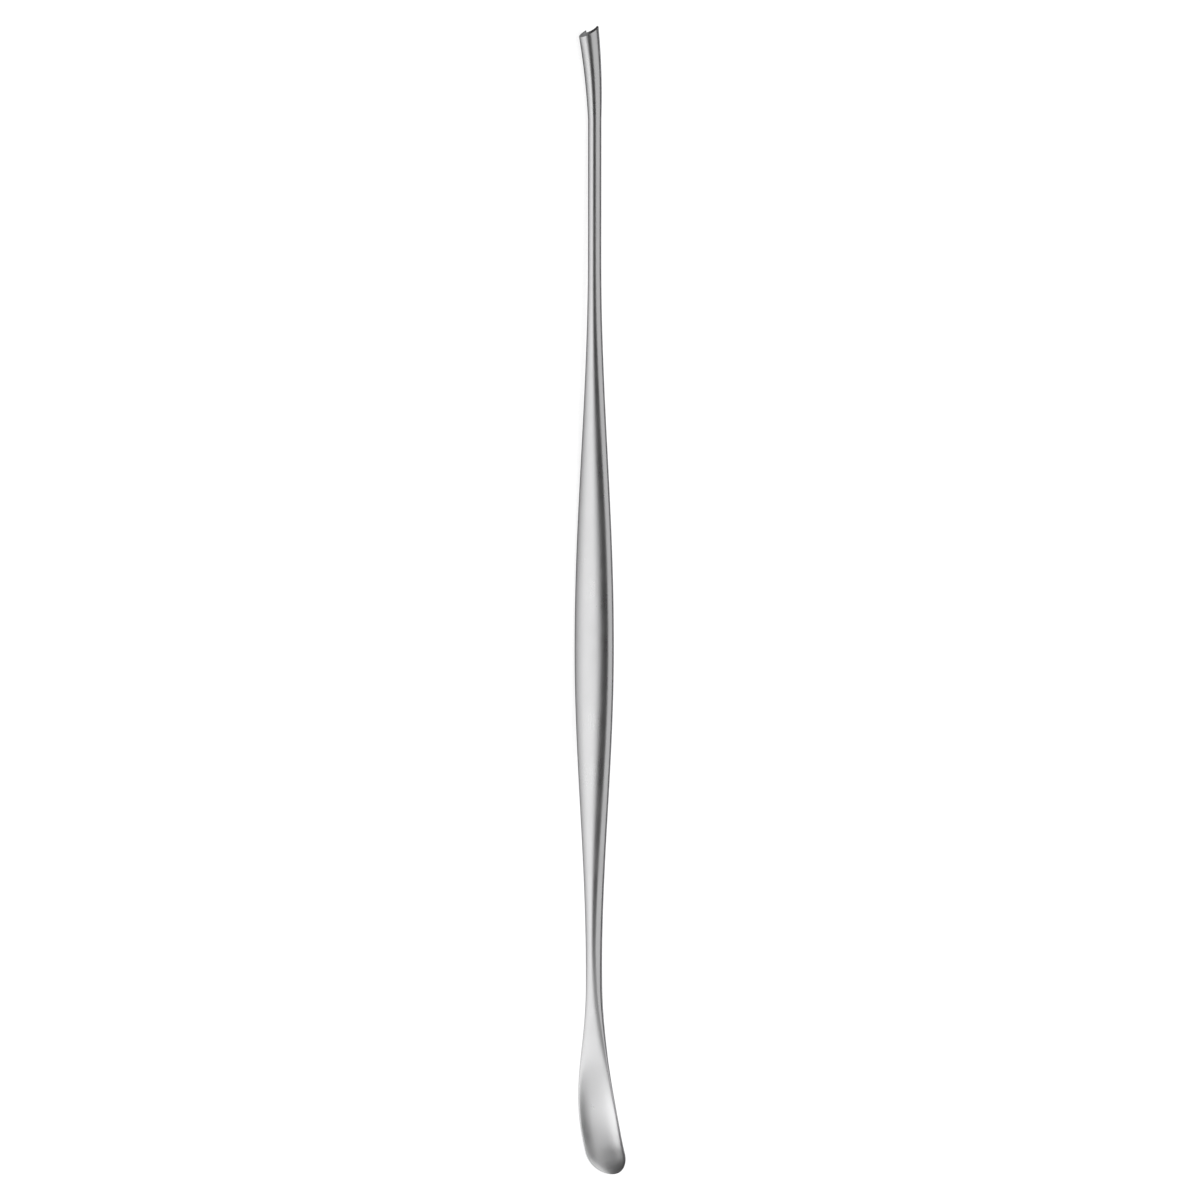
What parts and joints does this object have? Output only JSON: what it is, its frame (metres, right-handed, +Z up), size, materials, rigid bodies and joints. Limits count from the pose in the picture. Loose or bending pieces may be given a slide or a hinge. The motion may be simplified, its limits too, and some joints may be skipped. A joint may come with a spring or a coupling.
{
  "type": "penfield dissector",
  "caption": "Slender one-piece steel hand instrument with a flat tapered handle, a curved hollow-faced blade at one end and a small flared gouge at the other.",
  "frame": {"origin": "centre of the bounding box's base, on the table the instrument lies on", "axes": "+X along the instrument towards its blade, +Z up from the table, -Y the side that the hollow face of the blade looks to"},
  "size_m": [0.2002, 0.0118, 0.0081],
  "materials": {
    "satin_steel": "satin stainless steel, fine lengthwise polish"
  },
  "bodies": {
    "root": {"dissector": "satin_steel"}
  },
  "joints": []
}
